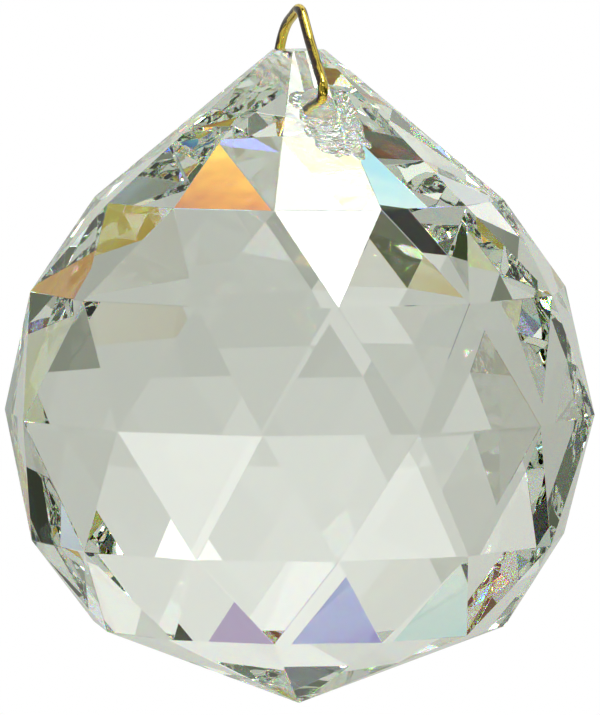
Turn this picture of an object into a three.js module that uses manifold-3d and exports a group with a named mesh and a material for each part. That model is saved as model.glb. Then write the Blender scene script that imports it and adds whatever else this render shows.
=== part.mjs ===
// A cut-crystal suncatcher: a clear faceted ball, drilled crosswise through its neck, and the bent
// brass wire that it hangs from. Millimetres, +Z up. The origin is the top of the wire's inside,
// where the thread bears, and the drilled hole runs along Y.
import * as THREE from 'three';
import { ConvexGeometry } from 'three/addons/geometries/ConvexGeometry.js';
import { mergeVertices } from 'three/addons/utils/BufferGeometryUtils.js';
import Module from 'manifold-3d';

const wasm = await Module();
wasm.setup();

// Driving dimensions. Heights are measured from the centre of the ball.
const BALL_RADIUS = 20;
const SIDES = 12;                          // every row of facets goes round in twelve
const BALL_LATITUDES = [46.1, 24.5, 0, -25, -45.75];   // degrees: the rows of corners on the ball
const CROWN_TURN = 5.25;                   // degrees from the hole to the nearest crown facet's middle
const TABLE_RADIUS = 1.8;                  // the small flat on top of the crown
const TABLE_HEIGHT = 24.4;
const POINT_HEIGHT = -19.7;                // the tip of the lower cone

const HOLE_HEIGHT = 20.95;
const HOLE_RADIUS = 1.1;
const HOLE_SEGMENTS = 32;

const WIRE_RADIUS = 0.35;
const WIRE_SIDES = 10;
const WIRE_STEPS = 84;
// The corners of the wire's bends, as [Y, height], with each bend's radius at the middle of the wire.
const FRONT_TIP = [-1.75, 20.38];
const FRONT_ELBOW = { corner: [-7.9, 21.7], radius: 0.7 };
const FRONT_LEG = { corner: [-3.1, 25.15], radius: 5 };
const APEX = { corner: [-0.45, 27.38], radius: 1.8 };
const BACK_SHOULDER = { corner: [4.9, 25.55], radius: 6 };
const BACK_ELBOW = { corner: [6.95, 21.7], radius: 0.7 };
const BACK_TIP = [1.75, 20.38];

// The corners of one row: a ring of points round the ball's axis.
function ring(radius, height, turn) {
  const points = [];
  for (let side = 0; side < SIDES; side++) {
    const angle = turn + (2 * Math.PI * side) / SIDES;
    points.push(new THREE.Vector3(radius * Math.sin(angle), -radius * Math.cos(angle), height));
  }
  return points;
}

// The crystal before it is drilled. Neighbouring rows on the ball are turned by half a side, which
// makes triangles between them. The crown is in line with the row it starts from, and the lower cone
// runs from the lowest row to its tip.
function cutBall() {
  const halfSide = Math.PI / SIDES;
  const corner = halfSide - THREE.MathUtils.degToRad(CROWN_TURN);
  const points = [...ring(TABLE_RADIUS, TABLE_HEIGHT, corner)];
  BALL_LATITUDES.forEach((latitude, row) => {
    const up = THREE.MathUtils.degToRad(latitude);
    const turn = corner + (row % 2) * halfSide;
    points.push(...ring(BALL_RADIUS * Math.cos(up), BALL_RADIUS * Math.sin(up), turn));
  });
  points.push(new THREE.Vector3(0, 0, POINT_HEIGHT));
  return new ConvexGeometry(points);
}

// What the drill takes out, along Y through the neck.
function drilledHole() {
  const hole = new THREE.CylinderGeometry(HOLE_RADIUS, HOLE_RADIUS, 2 * BALL_RADIUS, HOLE_SEGMENTS);
  hole.translate(0, 0, HOLE_HEIGHT);
  return hole;
}

function toSolid(geometry) {
  geometry.deleteAttribute('normal');
  geometry.deleteAttribute('uv');
  const merged = mergeVertices(geometry);
  return new wasm.Manifold(new wasm.Mesh({
    numProp: 3,
    vertProperties: new Float32Array(merged.attributes.position.array),
    triVerts: new Uint32Array(merged.index.array),
  }));
}

function toGeometry(solid) {
  const mesh = solid.getMesh();
  const geometry = new THREE.BufferGeometry();
  geometry.setAttribute('position', new THREE.BufferAttribute(mesh.vertProperties, 3));
  geometry.setIndex(new THREE.BufferAttribute(mesh.triVerts, 1));
  return geometry;
}

// The short arc about a centre from one point to another.
class Arc extends THREE.Curve {
  constructor(centre, start, end) {
    super();
    this.centre = centre;
    this.first = start.clone().sub(centre);
    this.last = end.clone().sub(centre);
    this.sweep = this.first.angleTo(this.last);
  }
  getPoint(t, target = new THREE.Vector3()) {
    const a = Math.sin((1 - t) * this.sweep) / Math.sin(this.sweep);
    const b = Math.sin(t * this.sweep) / Math.sin(this.sweep);
    return target.copy(this.centre).addScaledVector(this.first, a).addScaledVector(this.last, b);
  }
}

// A path in the YZ plane from one tip to the other, with an arc at each bend between them.
function bentPath(tip, bends, lastTip) {
  const place = ([y, z]) => new THREE.Vector3(0, y, z);
  const stops = [tip, ...bends.map((bend) => bend.corner), lastTip].map(place);
  const path = new THREE.CurvePath();
  let from = stops[0];
  bends.forEach(({ radius }, i) => {
    const corner = stops[i + 1];
    const back = stops[i].clone().sub(corner).normalize();
    const on = stops[i + 2].clone().sub(corner).normalize();
    const half = back.angleTo(on) / 2;
    const inward = back.clone().add(on).normalize();
    const centre = corner.clone().addScaledVector(inward, radius / Math.sin(half));
    const start = corner.clone().addScaledVector(back, radius / Math.tan(half));
    const end = corner.clone().addScaledVector(on, radius / Math.tan(half));
    path.add(new THREE.LineCurve3(from, start));
    path.add(new Arc(centre, start, end));
    from = end;
  });
  path.add(new THREE.LineCurve3(from, stops[stops.length - 1]));
  return path;
}

function bentWire() {
  const bends = [FRONT_ELBOW, FRONT_LEG, APEX, BACK_SHOULDER, BACK_ELBOW];
  const section = new THREE.Shape();
  section.absarc(0, 0, WIRE_RADIUS, 0, 2 * Math.PI);
  return new THREE.ExtrudeGeometry(section, {
    steps: WIRE_STEPS,
    curveSegments: WIRE_SIDES / 2,         // a full circle gets two sides for each
    extrudePath: bentPath(FRONT_TIP, bends, BACK_TIP),
  });
}

const crystalMaterial = new THREE.MeshStandardMaterial({ color: 0xeef4f0, roughness: 0.02, metalness: 0 });
const brassMaterial = new THREE.MeshStandardMaterial({ color: 0xc9a13b, roughness: 0.3, metalness: 1 });

const crystal = new THREE.Mesh(
  toGeometry(toSolid(cutBall()).subtract(toSolid(drilledHole()))),
  crystalMaterial,
);
crystal.name = 'crystal_ball';

const loop = new THREE.Mesh(bentWire(), brassMaterial);
loop.name = 'brass_loop';

// The thread bears one wire's thickness below the top of the arch.
loop.geometry.computeBoundingBox();
const threadHeight = loop.geometry.boundingBox.max.z - 2 * WIRE_RADIUS;

const group = new THREE.Group();
group.add(crystal, loop);
group.position.z = -threadHeight;

export default group;
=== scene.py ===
# %% [markdown]
# # A cut-crystal suncatcher
# The object is a clear faceted ball with a conical crown, drilled crosswise through its neck, and
# the bent brass wire that it hangs from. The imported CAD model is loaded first, as a fixed frame: it
# says where each body is and how big everything has to be. Its two solids could be given materials
# as they are, but a cut stone is judged on its edges, its bore and its polish, so each solid is
# replaced by a finer piece of the same size, built here step by step.

# %% Load the frame
import math

import bmesh
import bpy
from mathutils import Matrix, Vector, noise


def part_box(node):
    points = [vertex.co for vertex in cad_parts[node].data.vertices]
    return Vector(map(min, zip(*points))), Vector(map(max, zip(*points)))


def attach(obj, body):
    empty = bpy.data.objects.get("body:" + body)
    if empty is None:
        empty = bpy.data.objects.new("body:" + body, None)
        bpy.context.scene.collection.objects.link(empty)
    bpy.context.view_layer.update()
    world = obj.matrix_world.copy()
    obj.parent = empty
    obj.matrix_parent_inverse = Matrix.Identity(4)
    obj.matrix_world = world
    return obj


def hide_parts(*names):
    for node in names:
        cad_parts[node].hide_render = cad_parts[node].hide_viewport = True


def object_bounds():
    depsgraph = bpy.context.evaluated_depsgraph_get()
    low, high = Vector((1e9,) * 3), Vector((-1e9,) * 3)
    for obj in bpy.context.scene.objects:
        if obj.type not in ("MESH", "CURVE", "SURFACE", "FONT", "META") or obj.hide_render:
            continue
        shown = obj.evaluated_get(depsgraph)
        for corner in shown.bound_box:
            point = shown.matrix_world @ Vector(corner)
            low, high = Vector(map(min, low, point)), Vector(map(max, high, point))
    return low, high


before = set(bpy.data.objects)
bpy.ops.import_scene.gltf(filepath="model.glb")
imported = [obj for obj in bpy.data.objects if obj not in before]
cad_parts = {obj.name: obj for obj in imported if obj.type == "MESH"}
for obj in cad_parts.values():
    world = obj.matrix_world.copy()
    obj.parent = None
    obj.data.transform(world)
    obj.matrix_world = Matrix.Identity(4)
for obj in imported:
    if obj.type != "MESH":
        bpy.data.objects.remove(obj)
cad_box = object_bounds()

MM = 0.001
low, high = (Vector(corner) for corner in cad_box)
print("CAD box in mm:", [round(size / MM, 2) for size in high - low])

# %% [markdown]
# The pieces are shaped on a workbench measured in millimetres from the centre of the ball, because
# mesh operators have limits that are too coarse for a small object in metres. A finished mesh is
# then scaled to metres and set in its place, so its object stays at the origin, unturned and
# unscaled. The ball's centre is found from its lowest point, which is the tip of the lower cone.

# %% From the workbench to the frame
POINT_HEIGHT = -19.7
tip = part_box("crystal_ball")[0].z
ball_centre = Vector((0, 0, tip - POINT_HEIGHT * MM))
print("centre of the ball at", round(ball_centre.z / MM, 2), "mm below the thread")


def bench_object(bm, name, materials):
    """Makes the bench mesh an object, still in millimetres."""
    mesh = bpy.data.meshes.new(name)
    bm.to_mesh(mesh)
    bm.free()
    for material in materials:
        mesh.materials.append(material)
    piece = bpy.data.objects.new(name, mesh)
    bpy.context.scene.collection.objects.link(piece)
    return piece


def set_in_place(piece, body, node):
    """Moves a bench object into the frame, as what stands for a CAD node."""
    piece.data.transform(Matrix.Translation(ball_centre) @ Matrix.Scale(MM, 4))
    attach(piece, body)
    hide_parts(node)
    piece.data.calc_loop_triangles()
    print(piece.name, "has", len(piece.data.loop_triangles), "triangles")


# %% [markdown]
# Shader maths is easier to read as Python than as a picture of nodes. One small class wraps a
# socket, and each operator on it adds the Math node that does the same. Any other node comes from
# `node`, which sets the node's own settings first, and then fills or links its sockets.

# %% Shader maths as Python
class Signal:
    """A socket whose value can be used in an expression."""

    def __init__(self, recipe, socket):
        self.recipe, self.socket = recipe, socket

    def maths(self, operation, *values):
        return self.recipe.node("Math", {"operation": operation}, dict(enumerate(values)))

    def __add__(self, other):
        return self.maths("ADD", self, other)

    def __sub__(self, other):
        return self.maths("SUBTRACT", self, other)

    def __rsub__(self, other):
        return self.maths("SUBTRACT", other, self)

    def __mul__(self, other):
        return self.maths("MULTIPLY", self, other)

    def __gt__(self, other):
        return self.maths("GREATER_THAN", self, other)

    __radd__, __rmul__ = __add__, __mul__

    def soft_step(self, start, end, reach=1.0):
        """0 before start and `reach` after end, with a smooth change between them."""
        return self.recipe.node("MapRange", {"interpolation_type": "SMOOTHSTEP"},
                                {"Value": self, "From Min": start, "From Max": end, "To Max": reach})


class Recipe:
    """A node tree while it is being written."""

    def __init__(self, tree):
        self.tree = tree
        tree.nodes.clear()

    def node(self, kind, settings=None, sockets=None, output=0):
        """Adds a node; its sockets go by name, or by number where two share a name."""
        made = self.tree.nodes.new("ShaderNode" + kind)
        for name, value in (settings or {}).items():
            setattr(made, name, value)
        for key, value in (sockets or {}).items():
            if isinstance(value, Signal):
                self.tree.links.new(value.socket, made.inputs[key])
            else:
                made.inputs[key].default_value = value
        return Signal(self, made.outputs[output])

    def vectors(self, operation, *values, output="Vector"):
        return self.node("VectorMath", {"operation": operation}, dict(enumerate(values)), output)

    def mix(self, factor, first, second):
        """The colour `first` where the factor is 0, and `second` where it is 1."""
        return self.node("Mix", {"data_type": "RGBA"}, {0: factor, 6: first, 7: second}, 2)

    def on_piece(self):
        """The place on the piece itself, which stays the same wherever the piece moves."""
        return self.node("TexCoord", output="Object")

    def bumps(self, height, distance, strength=1.0):
        """A normal for relief too fine to model, whose full height is the distance, in metres."""
        return self.node("Bump", sockets={"Strength": strength, "Distance": distance, "Height": height})

    def noise(self, where, scale, detail=2.0, roughness=0.5):
        return self.node("TexNoise", sockets={"Vector": where, "Scale": scale, "Detail": detail,
                                              "Roughness": roughness})

    def finish(self, surface, kind="OutputMaterial"):
        output = self.tree.nodes.new("ShaderNode" + kind)
        self.tree.links.new(surface.socket, output.inputs["Surface"])


def new_material(name):
    material = bpy.data.materials.new(name)
    material.use_nodes = True
    return material, Recipe(material.node_tree)


# %% [markdown]
# ## Camera
# A small stone is seen through a long lens from a little above its middle, so that the rows of
# facets stay level and nearly parallel. The camera aims just below the middle of the CAD box, and
# its lens is worked out from how wide a field it takes in at the ball.

# %% Camera
TURN, LIFT = math.radians(-13.5), math.radians(4.34)
DISTANCE = 744.8 * MM
FIELD_AT_BALL = 40.38 * MM
AIM_BELOW_MIDDLE = 0.22 * MM
SENSOR = 36
back = Vector((math.sin(TURN) * math.cos(LIFT), -math.cos(TURN) * math.cos(LIFT), math.sin(LIFT)))
aim = Vector((0, 0, (low.z + high.z) / 2 - AIM_BELOW_MIDDLE))
lens = bpy.data.cameras.new("camera")
lens.sensor_fit, lens.sensor_width = "HORIZONTAL", SENSOR
lens.lens = SENSOR * DISTANCE / FIELD_AT_BALL
lens.shift_x = 0.002
lens.clip_start, lens.clip_end = 0.01, 100
camera = bpy.data.objects.new("camera", lens)
turned = back.to_track_quat("Z", "Y").to_matrix().to_4x4()
camera.matrix_world = Matrix.Translation(aim + back * DISTANCE) @ turned
bpy.context.scene.collection.objects.link(camera)
bpy.context.scene.camera = camera
print("a", round(lens.lens), "mm lens,", round(DISTANCE / MM), "mm from the ball")

# %% [markdown]
# ## Floor
# The floor is a sheet of white acrylic lit from below, a little way under the point. A lit sheet
# takes no shadow and has no horizon, so the stone seems to hang in white. It is left out of what
# the crystal and the brass see, because the studio around them does that.

# %% Floor
FLOOR_BELOW = 30 * MM
FLOOR_RADIUS = 12                # metres, so that its edge is far away
WHITE = (1, 1, 1, 1)


def lit_acrylic():
    material, recipe = new_material("lit_acrylic")
    recipe.finish(recipe.node("Emission", sockets={"Color": WHITE, "Strength": 1.0}))
    return material


bm = bmesh.new()
bmesh.ops.create_circle(bm, cap_ends=True, segments=96, radius=FLOOR_RADIUS,
                        matrix=Matrix.Translation((0, 0, low.z - FLOOR_BELOW)))
floor = bench_object(bm, "floor", [lit_acrylic()])
floor.visible_transmission = floor.visible_glossy = floor.visible_shadow = False
print("floor", round(FLOOR_BELOW / MM), "mm below the point")

# %% [markdown]
# ## Studio light
# A clear stone has no colour of its own: each facet shows one small part of the room, bent there
# through the stone. So the room is what is designed here. Around the crystal is a light grey tent,
# with white cards where facets should flash and dark cards where they should be deep. The cards
# are painted on the world instead of being lamps, because then every ray that leaves the crystal
# meets its light at once, without noise. Each card is a round patch with a soft edge. Behind the
# camera the tent is open, and the crystal mirrors a dim room with blinds there.

# %% Studio light
TENT = (0.53, 0.55, 0.50)
# each card: how far to turn from straight behind the crystal (to the right), how far up, its
# radius, the softness of its edge, all in degrees, and how much brighter it is than the tent
CARDS = [
    # lights
    (54, 80, 9, 1, 9.0),         # the softbox overhead, which the front facet of the crown mirrors
    (147, 69, 8, 2, 18.0),       # its brighter end, mirrored in the facet under that one
    (6, 28, 26, 17, 0.25),       # a broad glow behind and above, which the lower facets show
    (12, 46, 8, 3, 0.25),        # its brightest part
    (18, 19, 5, 1, 0.4),         # a small flash low on the left
    (48, 30, 7, 1, 0.5),         # the pale facets low at both sides
    (-42, 43, 12, 6, 0.15),
    (24, -42, 3.2, 0.5, 1.3),    # a lamp for the orange facet of the crown
    (-37, -60, 17, 0.5, 0.5),    # the table top, which the blue facets of the crown half see
    (-46, 22, 5, 1, 0.3),        # flashes for the rim at the right
    (-178, 35, 7.5, 0.5, 1.5),   # windows behind the camera, for flashes all round the rim
    (-140, -18, 7, 0.5, 2.5),
    (130, -30, 7, 0.5, 2.5),
    (-120, 35, 8, 0.5, 2.0),
    (150, 30, 5, 0.5, 2.5),
    (168, -25, 5, 0.5, 2.5),
    # darks
    (23, -46, 7, 1, -0.35),      # under the lamp: the shadow side of the orange facet
    (-17, -42, 6, 0.5, -0.45),   # over the table top's edge: the shadow side of the blue facets
    (-38, -38, 6.5, 0.5, -0.45),
    (-18, -34, 4, 0.5, -0.5),    # the blackest facet of the crown
    (-8, 29, 4, 1, (-0.5, -0.6, -0.35)),     # violet cloth, for the deep facets at the foot
    (8, 30, 4, 1, (-0.35, -0.45, -0.25)),
    (15, 68, 10, 3, -0.75),      # the dark facets of the lower cone
    (52, -80, 9, 1, -0.5),
    (-130, 79, 9, 1, -0.4),      # the dark facets of the crown
    (-116, 53, 14, 1, -0.4),
    (-110, -35, 20, 1, -0.5),
    (106, -30, 39, 0.5, -0.5),
    (27, 36, 4, 0.5, -0.45),
    (-34, 35, 4, 0.5, -0.35),
    (70, 14, 6, 0.5, -0.5),      # strips at both sides, for the dark slivers of the rim
    (72, -18, 9, 0.5, -0.5),
    (-39, -15, 5, 0.5, -0.4),
    (-62, -8, 5, 0.5, -0.5),
    (75, 38, 10, 3, -0.35),
    (-70, 0, 26, 10, -0.1),
    (43, -13, 6, 1, -0.15),      # small steps of grey, so that neighbouring facets differ
    (42, -24, 12, 1, -0.15),
    (-43, -24, 4, 1, -0.15),
    (-2, -36, 4, 1, -0.15),
    (-11, -22, 7, 2, 0.15),
    (-29, 2, 5, 2, 0.1),
    (-2, 26, 5, 2, 0.1),
    (150, 12, 12, 2, -0.9),      # a doorway behind the camera, for the deepest darks
]
# the blinds: their pitch and the middle of one dark slat, as heights on a ball of radius 1, and
# how much a dark and a light slat add to the tent
BLIND_PITCH, DARK_SLAT = 0.2, 0.17
BLIND_DARK, BLIND_LIGHT = -0.5, -0.1
# where the room begins and where it is full, as the cosine of the angle from the camera
ROOM_EDGE = (0.35, 0.5)
BLACKEST = (0.01, 0.01, 0.01)


def with_card(recipe, light, looking, across, up, radius, softness, brighter):
    """The light with one more card in it."""
    turn, rise = TURN + math.pi - math.radians(across), math.radians(up)
    card = (math.sin(turn) * math.cos(rise), -math.cos(turn) * math.cos(rise), math.sin(rise))
    edge = math.cos(math.radians(radius + softness))
    full = math.cos(math.radians(max(radius - softness, 0)))
    tone = brighter if isinstance(brighter, tuple) else (brighter,) * 3
    near = recipe.vectors("DOT_PRODUCT", looking, card, output="Value")
    return recipe.vectors("MULTIPLY_ADD", near.soft_step(edge, full), tone, light)


def blinds(recipe, looking):
    """What the room behind the camera adds to the tent."""
    room = recipe.vectors("DOT_PRODUCT", looking, back, output="Value")
    height = recipe.node("SeparateXYZ", sockets={"Vector": looking}, output="Z")
    phase = (height - DARK_SLAT) * (math.tau / BLIND_PITCH)
    slat = phase.maths("COSINE", phase).soft_step(0.1, -0.1, BLIND_LIGHT - BLIND_DARK) + BLIND_DARK
    return room.soft_step(*ROOM_EDGE) * slat


def studio():
    world = bpy.data.worlds.new("studio")
    world.use_nodes = True
    bpy.context.scene.world = world
    recipe = Recipe(world.node_tree)
    looking = recipe.node("TexCoord", output="Generated")
    light = TENT
    for card in CARDS:
        light = with_card(recipe, light, looking, *card)
    light = recipe.vectors("ADD", light, blinds(recipe, looking))
    light = recipe.vectors("MAXIMUM", light, BLACKEST)
    camera_ray = recipe.node("LightPath", output="Is Camera Ray")
    tent = recipe.node("Background", sockets={"Color": light, "Strength": 1.0})
    plain = recipe.node("Background", sockets={"Color": WHITE, "Strength": 1.0})
    recipe.finish(recipe.node("MixShader", sockets={0: camera_ray, 1: tent, 2: plain}), "OutputWorld")


studio()
BOUNCES = 24
scene = bpy.context.scene
scene.view_settings.view_transform = "Standard"
scene.cycles.max_bounces = scene.cycles.transmission_bounces = scene.cycles.glossy_bounces = BOUNCES
print(len(CARDS), "cards around the crystal, and", BOUNCES, "bounces for light inside it")

# %% [markdown]
# ## Polished crystal
# Lead crystal bends blue light more than red, which is why its facets flash with colours. A glass
# shader has one index, so the light that leaves the stone is shared between six of them, each with
# a slightly higher index than the last and passing one band of colours. Together the bands make
# white. Light that strikes a facet too flatly to leave at all is reflected whole, in white. The
# polish itself is nearly perfect: it swells by less than a hundredth of a millimetre, and the lap
# has left faint lines that only dull it a little.

# %% Polished crystal
MIDDLE_INDEX, INDEX_SPREAD = 1.5635, 0.027
BANDS = [(2.8, 0, 0), (2.2, 1.2, 0), (0.6, 2.6, 0), (0, 1.9, 0.9), (0, 0.3, 2.7), (0.4, 0, 2.4)]
CLEAR = (0.985, 0.992, 0.982)
WHOLE = 0.98                     # the share mirrored, from which all of it counts as mirrored
SWELL_SCALE, SWELL_HEIGHT = 400.0, 0.0025 * MM
LAP_SCALE, LAP_SQUEEZE = 250.0, (1.0, 1.0, 30.0)
LAP_DULLNESS = 0.012


def glass(recipe, index, colour, roughness, normal):
    return recipe.node("BsdfGlass", sockets={"Color": (*colour, 1), "Roughness": roughness,
                                             "IOR": index, "Normal": normal})


def crystal_surface(recipe, roughness, normal):
    """Glass that spreads the colours of the light that leaves it."""
    lowest = MIDDLE_INDEX - INDEX_SPREAD / 2
    white = glass(recipe, MIDDLE_INDEX, CLEAR, roughness, normal)
    fan = None
    for count, band in enumerate(BANDS):
        index = lowest + INDEX_SPREAD * count / (len(BANDS) - 1)
        colour = [share * clear for share, clear in zip(band, CLEAR)]
        one = glass(recipe, index, colour, roughness, normal)
        fan = recipe.node("MixShader", sockets={0: 1 / (count + 1), 1: fan, 2: one}) if fan else one
    turned_back = recipe.node("Fresnel", sockets={"IOR": lowest, "Normal": normal}) > WHOLE
    leaving = recipe.node("MixShader", sockets={0: turned_back, 1: fan, 2: white})
    from_inside = recipe.node("NewGeometry", output="Backfacing")
    return recipe.node("MixShader", sockets={0: from_inside, 1: white, 2: leaving})


def polished_crystal():
    material, recipe = new_material("polished_crystal")
    where = recipe.on_piece()
    swell = recipe.noise(where, SWELL_SCALE, 1.0)
    squeezed = recipe.node("Mapping", sockets={"Vector": where, "Scale": LAP_SQUEEZE})
    roughness = recipe.noise(squeezed, LAP_SCALE, 3.0).soft_step(0.55, 0.75, LAP_DULLNESS)
    recipe.finish(crystal_surface(recipe, roughness, recipe.bumps(swell, SWELL_HEIGHT)))
    return material


print(len(BANDS), "bands of colour, with indices", INDEX_SPREAD, "apart from first to last")

# %% [markdown]
# The bore is drilled and never polished. The drill leaves close rings along its wall, and the grit
# leaves it grey. Both are finer than a mesh could carry, so they are relief in the shader: a sine
# along the bore for the rings, shaken by a coarse noise, and a fine noise for the grit.

# %% Ground bore
BORE_HEIGHT, BORE_RADIUS = 20.95, 1.1
RING_PITCH, GROUND_RELIEF = 0.24 * MM, 0.01 * MM
GRIT_SCALE, WEAR_SCALE = 7000.0, 1500.0
GRIT_DULLNESS = 0.07


def ground_crystal():
    material, recipe = new_material("ground_crystal")
    where = recipe.on_piece()
    grit = recipe.noise(where, GRIT_SCALE)
    wear = recipe.noise(where, WEAR_SCALE)
    along_bore = recipe.node("SeparateXYZ", sockets={"Vector": where}, output="Y")
    phase = along_bore * (math.tau / RING_PITCH) + wear * 5.0
    height = phase.maths("SINE", phase) + wear * 3.0 + grit * 0.8
    roughness = grit.soft_step(0.4, 0.65, GRIT_DULLNESS)
    bumps = recipe.bumps(height, GROUND_RELIEF, strength=0.7)
    recipe.finish(crystal_surface(recipe, roughness, bumps))
    return material


print("rings in the bore", RING_PITCH / MM, "mm apart")

# %% [markdown]
# Where glass has flaked off at the mouths of the bore, the break is as clear as the polish, and it
# carries hackles: fine ripples that spread from where it broke. They are rings of equal distance
# from the middle of the bore, made ragged by a noise.

# %% Broken glass
HACKLE_PITCH, HACKLE_HEIGHT = 0.33 * MM, 0.018 * MM
FEATHER_SCALE = 1100.0


def broken_crystal():
    material, recipe = new_material("broken_crystal")
    where = recipe.on_piece()
    feathers = recipe.noise(where, FEATHER_SCALE)
    start = ball_centre + Vector((0, 0, BORE_HEIGHT * MM))
    away = recipe.vectors("DISTANCE", where, start, output="Value")
    phase = away * (math.tau / HACKLE_PITCH) + feathers * 9.0
    bumps = recipe.bumps(phase.maths("SINE", phase), HACKLE_HEIGHT)
    recipe.finish(crystal_surface(recipe, 0.0, bumps))
    return material


print("hackles", HACKLE_PITCH / MM, "mm apart")

# %% [markdown]
# ## The cut
# Every corner of the cut lies in one of a few level rows, twelve corners round. Neighbouring rows
# on the ball are turned by half a side, which makes triangles between them. The facets could be
# ground off one at a time with `bisect_plane`, but their corners would then meet only roughly. The
# skin stretched round the corners, `convex_hull`, gives the same facets with clean corners.

# %% Rows of corners
SIDES = 12
BALL_RADIUS = 20
BALL_LATITUDES = [46.1, 24.5, 0, -25, -45.75]
FRONT_FACET_TURN = math.radians(-5.25)
TABLE_HEIGHT = 24.4
CROWN_REACH = 1.73
FRONT_CROWN_REACH = 1.62
HALF_SIDE = math.pi / SIDES


def row(radius, height, turn=FRONT_FACET_TURN + HALF_SIDE):
    """Twelve corners round the axis, the first just to the right of the front facet."""
    angles = [turn + math.tau * side / SIDES for side in range(SIDES)]
    return [Vector((radius * math.sin(a), -radius * math.cos(a), height)) for a in angles]


ball_rows = []
for count, latitude in enumerate(BALL_LATITUDES):
    up = math.radians(latitude)
    turn = FRONT_FACET_TURN + HALF_SIDE * (1 + count % 2)
    ball_rows.append(row(BALL_RADIUS * math.cos(up), BALL_RADIUS * math.sin(up), turn))
print("rows on the ball:", len(ball_rows))

# %% [markdown]
# The crown's twelve facets run from the top row on the ball up to the table, a small flat. On the
# real stone they aren't ground to quite the same depth: the front one goes a little deeper, which
# makes its top edge the longest. So the table's corners are where neighbouring planes cross.

# %% Crown and table
def crown_plane(side):
    """A point on one crown facet, and its normal."""
    left, right = ball_rows[0][side - 1], ball_rows[0][side % SIDES]
    outward = Vector((left.x + right.x, left.y + right.y, 0)).normalized()
    reach = FRONT_CROWN_REACH if side % SIDES == 0 else CROWN_REACH
    top = outward * reach + Vector((0, 0, TABLE_HEIGHT))
    return left, (right - left).cross(top - left).normalized()


def crossing(first, second, height):
    """Where two planes, each a point and a normal, cross at a height."""
    (_, left), (_, right) = first, second
    left_reach, right_reach = (normal.dot(point) - normal.z * height
                               for point, normal in (first, second))
    across = left.x * right.y - left.y * right.x
    return Vector(((left_reach * right.y - right_reach * left.y) / across,
                   (left.x * right_reach - right.x * left_reach) / across, height))


table = [crossing(crown_plane(side), crown_plane(side + 1), TABLE_HEIGHT) for side in range(SIDES)]
widths = [(table[side] - table[side - 1]).length for side in range(SIDES)]
print("crown facets are", round(widths[1], 2), "mm wide at the table, and the front one",
      round(widths[0], 2))

# %% [markdown]
# A cut edge is never quite sharp. Polishing leaves a line a few hundredths of a millimetre wide,
# which catches the light, so the edges between facets get a very small bevel.

# %% The solid
EDGE_WIDTH = 0.02
FLAT_ANGLE = math.radians(0.05)  # faces that meet at less than this are one facet


def cut_solid():
    bm = bmesh.new()
    corners = table + sum(ball_rows, []) + [Vector((0, 0, POINT_HEIGHT))]
    for corner in corners:
        bm.verts.new(corner)
    bmesh.ops.convex_hull(bm, input=bm.verts)
    bmesh.ops.dissolve_limit(bm, angle_limit=FLAT_ANGLE, verts=bm.verts, edges=bm.edges)
    print("facets:", len(bm.faces), "of", round(bm.calc_volume() / 1000, 2), "cm3")
    bmesh.ops.bevel(bm, geom=bm.edges[:], affect="EDGES", offset=EDGE_WIDTH, segments=1,
                    profile=0.5, material=-1)
    return bm


polished = polished_crystal()
crystal = bench_object(cut_solid(), "cut_crystal", [polished])

# %% [markdown]
# ## The bore
# The neck is drilled from both sides along Y, so the wire can pass. The drill is modelled and
# taken out with a Boolean modifier, as the real one takes glass out. It wanders and chatters a
# little, so its wall is not quite round. The faces that it leaves get the ground finish.

# %% Taking glass out
DRILL_LENGTH, BORE_RINGS, BORE_SIDES = 16, 100, 64
WANDER, CHATTER = 0.07, 0.03


def take_out(stone, tool):
    """Cuts the tool out of the stone; the faces that it leaves keep the tool's material."""
    cut = stone.modifiers.new("cut", "BOOLEAN")
    cut.operation, cut.solver, cut.material_mode = "DIFFERENCE", "EXACT", "TRANSFER"
    cut.object = tool
    cut.use_self = True
    evaluated = stone.evaluated_get(bpy.context.evaluated_depsgraph_get())
    carved = bpy.data.meshes.new_from_object(evaluated)
    stone.modifiers.clear()
    stone.data = carved
    bpy.data.objects.remove(tool)
    print("faces after the cut:", len(carved.polygons))


def drill():
    bm = bmesh.new()
    along_y = Matrix.Translation((0, 0, BORE_HEIGHT)) @ Matrix.Rotation(math.pi / 2, 4, "X")
    bmesh.ops.create_cone(bm, cap_ends=True, segments=BORE_SIDES, radius1=BORE_RADIUS,
                          radius2=BORE_RADIUS, depth=DRILL_LENGTH, matrix=along_y)
    rails = [edge for edge in bm.edges if abs(edge.verts[0].co.y - edge.verts[1].co.y) > 1]
    bmesh.ops.subdivide_edges(bm, edges=rails, cuts=BORE_RINGS, use_grid_fill=False)
    for vertex in bm.verts:
        spoke = Vector((vertex.co.x, 0, vertex.co.z - BORE_HEIGHT))
        if spoke.length < BORE_RADIUS / 2:
            continue
        shake = WANDER * noise.noise(vertex.co * 0.9) + CHATTER * noise.noise(vertex.co * 2.5)
        vertex.co += spoke.normalized() * shake
    return bm


ground = ground_crystal()
take_out(crystal, bench_object(drill(), "tool", [ground]))

# %% [markdown]
# Glass breaks in shells. Where the drill came through the facet it has flaked away broadly, and
# beside the mouth there are runs of small sharp chips. Each flake is a flattened ball of missing
# glass with ripples that spread from where it broke. Displacing the facet itself could not undercut
# it as a real flake does.

# %% One shell
RIPPLE, RAGGED = 0.03, 0.16


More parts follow.
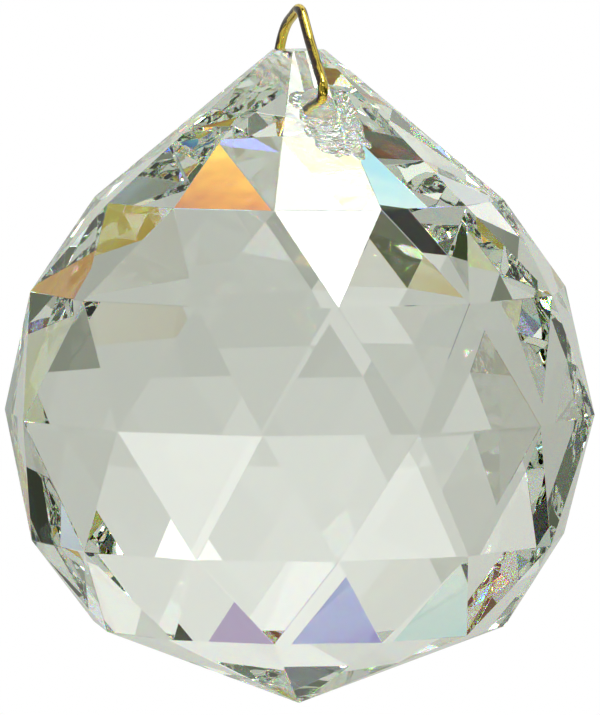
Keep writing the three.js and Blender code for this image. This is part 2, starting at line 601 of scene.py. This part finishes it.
def shell(bm, place, size, seed, fineness=4):
    """Adds a flat shell of missing glass, with ripples that spread from where it broke."""
    made = bmesh.ops.create_icosphere(bm, subdivisions=fineness, radius=1)["verts"]
    start = Vector((math.cos(seed), math.sin(seed), 0.3))
    for vertex in made:
        ripple = RIPPLE * math.sin(13 * (vertex.co - start).length)
        rough = RAGGED * noise.noise(vertex.co * 1.6 + Vector((seed, 0, 0)))
        vertex.co *= 1 + ripple + rough
    bmesh.ops.transform(bm, matrix=place @ Matrix.Diagonal((*size, 1)), verts=made)


print("a shell's ripples are", round(100 * RIPPLE), "% of its size")

# %% [markdown]
# The flakes and the chips are laid out on the facet that the bore comes through, to the
# right and down the slope from the middle of its mouth. The rear mouth has fewer. The chips' sizes
# and turns come from a noise with a fixed seed, so they are the same ones every time.

# %% Flaked mouths
def mouth(side):
    """A frame on a crown facet at the bore's mouth: right, down the slope and outwards."""
    point, normal = crown_plane(side)
    middle = Vector((0, (normal.dot(point) - normal.z * BORE_HEIGHT) / normal.y, BORE_HEIGHT))
    across = Vector((-normal.y, normal.x, 0)).normalized()
    down = across.cross(normal)
    if down.z > 0:
        down = -down
    turn = Matrix((across, down, normal)).transposed().to_4x4()
    return middle, turn


# each flake: how far right and down the slope from the mouth's middle, and its half sizes
FRONT_FLAKES = [((0.0, 0.9), (1.35, 1.5, 0.5)), ((0.8, 3.2), (1.5, 1.7, 0.3)),
                ((-1.1, -0.5), (0.9, 0.9, 0.3)), ((2.0, 1.6), (0.9, 3.1, 0.45)),
                ((0.5, 4.2), (0.4, 0.3, 0.3))]
BACK_FLAKES = [((0.0, 0.7), (1.3, 1.5, 0.45)), ((-0.9, 1.9), (0.8, 1.1, 0.3))]
# where a run of small chips starts and ends beside the mouth, and how many there are
FRONT_CHIPS = [((1.3, -1.8), (2.8, 3.4), 13), ((-1.1, 0.4), (-0.6, 3.2), 5),
               ((-0.4, 4.0), (2.5, 4.7), 6)]
BACK_CHIPS = [((-1.3, -0.6), (-1.2, 1.8), 5)]
CHIP_SIZE, CHIP_VARIES, CHIP_STRAYS = 0.36, 0.5, 0.45
# the vector noise that scatters the chips is shifted by a chance amount until it has a seed
CHIP_SEED = 1
noise.seed_set(CHIP_SEED)
# how far right of the mouth the facet ends, how that grows down the slope, how steeply the next
# facet falls away, and how far the flakes' middles are above the glass
FACET_END, FACET_SPREAD, NEXT_FALL, ABOVE = 1.0, 0.14, 0.35, 0.05


def on_stone(right, down):
    """A place just above the facet, or above the next one, which falls away to the right of it."""
    edge = FACET_END + FACET_SPREAD * down
    return Vector((right, down, ABOVE - NEXT_FALL * max(0, right - edge)))


def broken_glass(side, flakes, runs):
    """What has flaked off round one mouth: broad shells, and runs of small sharp chips."""
    middle, turn = mouth(side)
    bm = bmesh.new()
    for count, ((right, down), size) in enumerate(flakes):
        at = Matrix.Translation(middle + turn.to_3x3() @ on_stone(right, down))
        shell(bm, at @ turn, size, 1.7 * count + side)
    for start, end, chips in runs:
        for count in range(chips):
            share = (count + 0.5) / chips
            seed = Vector((7.3 * count + side, 3.1 * start[0], 0))
            stray = noise.noise_vector(seed) * CHIP_STRAYS
            spot = Vector(start).lerp(Vector(end), share) + stray.xy
            half = CHIP_SIZE + CHIP_VARIES * noise.noise(seed + Vector((0, 0, 9)))
            at = Matrix.Translation(middle + turn.to_3x3() @ on_stone(*spot)) @ turn
            tilt = Matrix.Rotation(4 * stray.z, 4, "Z") @ Matrix.Rotation(1.2 * stray.x, 4, "Y")
            shell(bm, at @ tilt, (half, 1.5 * half, 0.55 * half), seed.x, fineness=1)
    bmesh.ops.recalc_face_normals(bm, faces=bm.faces)
    return bm


broken = broken_crystal()
for side, flakes, runs in ((0, FRONT_FLAKES, FRONT_CHIPS), (SIDES // 2, BACK_FLAKES, BACK_CHIPS)):
    take_out(crystal, bench_object(broken_glass(side, flakes, runs), "tool", [broken]))
for polygon in crystal.data.polygons:
    polygon.use_smooth = crystal.data.materials[polygon.material_index] == ground
set_in_place(crystal, "crystal", "crystal_ball")

# %% [markdown]
# ## The brass wire
# One length of drawn wire is bent to an arch, and its ends turn in to sit in the bore. It could be
# a curve with a round bevel, but a real bend is made by turning the end of a straight wire about a
# peg, and `spin` does just that to the open end of a mesh tube: so the wire is extruded where it
# is straight and spun where it bends. Each corner below is where two straight runs would meet.

# %% Bends
WIRE_RADIUS, WIRE_SIDES = 0.35, 24
TIP_FRONT, TIP_BACK = (-1.75, 20.38), (1.75, 20.38)
# each bend: the corner, as Y and height, and the radius at the middle of the wire
BENDS = [((-7.9, 21.7), 0.7), ((-3.1, 25.15), 5), ((-0.45, 27.38), 1.8), ((4.9, 25.55), 6),
         ((6.95, 21.7), 0.7)]
STEP = 0.12
# the filed tip, from its end: how far to the next ring, and how much wider that ring is
TIP_START = 0.55                 # the flat end's share of the wire's radius
FILED = [(0.03, 1.4), (0.05, 1.19), (0.09, 1 / (TIP_START * 1.4 * 1.19))]


def bent_wire():
    bm = bmesh.new()
    corners = [TIP_FRONT] + [corner for corner, radius in BENDS] + [TIP_BACK]
    stops = [Vector((0, across, height)) for across, height in corners]
    heading = (stops[1] - stops[0]).normalized()
    turn = heading.to_track_quat("Z", "X").to_matrix().to_4x4()
    bmesh.ops.create_circle(bm, cap_ends=True, segments=WIRE_SIDES, radius=TIP_START * WIRE_RADIUS,
                            matrix=Matrix.Translation(stops[0]) @ turn)
    state = {"end": bm.edges[:], "at": stops[0].copy(), "along": 0.0}

    def grow(made):
        state["end"] = [item for item in made if isinstance(item, bmesh.types.BMEdge)]
        return {vertex for edge in state["end"] for vertex in edge.verts}

    def push(distance, heading, radius_ratio=1.0):
        made = bmesh.ops.extrude_edge_only(bm, edges=state["end"])["geom"]
        ring = grow(made)
        state["at"] = state["at"] + heading * distance
        state["along"] += distance
        bmesh.ops.translate(bm, verts=list(ring), vec=heading * distance)
        if radius_ratio != 1.0:
            bmesh.ops.scale(bm, verts=list(ring), vec=(radius_ratio,) * 3,
                            space=Matrix.Translation(-state["at"]))

    def straight(target, heading):
        gap = (target - state["at"]).length
        steps = max(1, round(gap / (4 * STEP)))
        for _ in range(steps):
            push(gap / steps, heading)

    for distance, ratio in FILED:
        push(distance, heading, ratio)
    for corner, next_stop, (_, radius) in zip(stops[1:], stops[2:], BENDS):
        onward = (next_stop - corner).normalized()
        swing = heading.angle(onward)
        setback = radius * math.tan(swing / 2)
        straight(corner - heading * setback, heading)
        axis = heading.cross(onward).normalized()
        peg = state["at"] + axis.cross(heading) * radius
        steps = max(4, round(radius * swing / STEP))
        for _ in range(steps):
            made = bmesh.ops.spin(bm, geom=state["end"], cent=peg, axis=axis,
                                  angle=swing / steps, steps=1)
            grow(made["geom_last"])
            state["along"] += radius * swing / steps
        state["at"] = corner + onward * setback
        heading = onward
    straight(stops[-1] - heading * sum(distance for distance, ratio in FILED), heading)
    for distance, ratio in reversed(FILED):
        push(distance, heading, 1 / ratio)
    bmesh.ops.contextual_create(bm, geom=state["end"])
    bmesh.ops.recalc_face_normals(bm, faces=bm.faces)
    for face in bm.faces:
        face.smooth = True
    print("wire", round(state["along"], 1), "mm long, with", len(BENDS), "bends")
    return bm


# %% [markdown]
# The wire is drawn brass that has hung for years, with brown tarnish in patches. Its flanks, the
# sides that face left and right, are painted dark brown as well: that is painted shade, which gives
# the wire a dark outline round a bright middle, and above the elbow the front leg's dark flanks
# reach further in. Tarnish is an oxide, so where it is thick the surface is darker and rougher, and
# the painted shade is made the same way. Drawing through the die has left fine lines along the
# wire. The wire lies in one plane, so its lines and flanks are both found from how far they are from
# it.

# %% Brass
GOLD, OCHRE = (1.0, 0.80, 0.14, 1), (0.78, 0.50, 0.06, 1)
# dark umber and rust brown: the colour of the tarnish patches, and also of the painted shade along the
# wire's flanks
UMBER, RUST = (0.022, 0.010, 0.006, 1), (0.14, 0.055, 0.015, 1)
PATCH_SCALE, PIT_SCALE = 700.0, 5000.0
LINES_ACROSS, LINES_ALONG = 8.0, 350.0
DRAWN_RELIEF = 0.01 * MM
ELBOW_HEIGHT = 22.2              # the front leg is browner from here up


def aged_brass():
    material, recipe = new_material("aged_brass")
    where = recipe.on_piece()
    across, forward, up = (recipe.node("SeparateXYZ", sockets={"Vector": where}, output=axis)
                           for axis in "XYZ")
    across = across * (1 / (WIRE_RADIUS * MM))
    patches = recipe.noise(where, PATCH_SCALE, 3.0, 0.6)
    elbow = ball_centre.z + ELBOW_HEIGHT * MM
    front_leg = (1 - forward.soft_step(-1.2 * MM, 0)) * up.soft_step(elbow, elbow + 0.8 * MM)
    # painted shade: the wire's flanks are darkened to a dark brown outline, with the bright middle kept
    # a little right of centre, and the dark reaches further in on the front leg above the elbow; the
    # noise patches are tarnish
    off_middle = across - 0.1
    flank_shade_and_patches = off_middle.maths("ABSOLUTE", off_middle) + (patches - 0.5) * 1.1 + front_leg * 0.45
    painted_shade_and_tarnish = flank_shade_and_patches.soft_step(0.85, 1.0)
    drawn = recipe.node("CombineXYZ", sockets={"X": across * LINES_ACROSS, "Y": forward * LINES_ALONG,
                                               "Z": up * LINES_ALONG})
    lines = recipe.noise(drawn, 1.0, 3.0)
    bright = recipe.mix(lines.soft_step(0.35, 0.7), GOLD, OCHRE)
    pits = recipe.noise(where, PIT_SCALE)
    brown = recipe.mix(pits.soft_step(0.5, 0.7), UMBER, RUST)
    recipe.finish(recipe.node("BsdfPrincipled", sockets={
        "Base Color": recipe.mix(painted_shade_and_tarnish, bright, brown),
        "Metallic": 1 - painted_shade_and_tarnish * 0.75,
        "Roughness": painted_shade_and_tarnish * 0.15 + lines * 0.1 + 0.05,
        "Normal": recipe.bumps(lines + pits * painted_shade_and_tarnish, DRAWN_RELIEF, strength=0.5)}))
    return material


wire = bench_object(bent_wire(), "brass_wire_loop", [aged_brass()])
set_in_place(wire, "loop", "brass_loop")
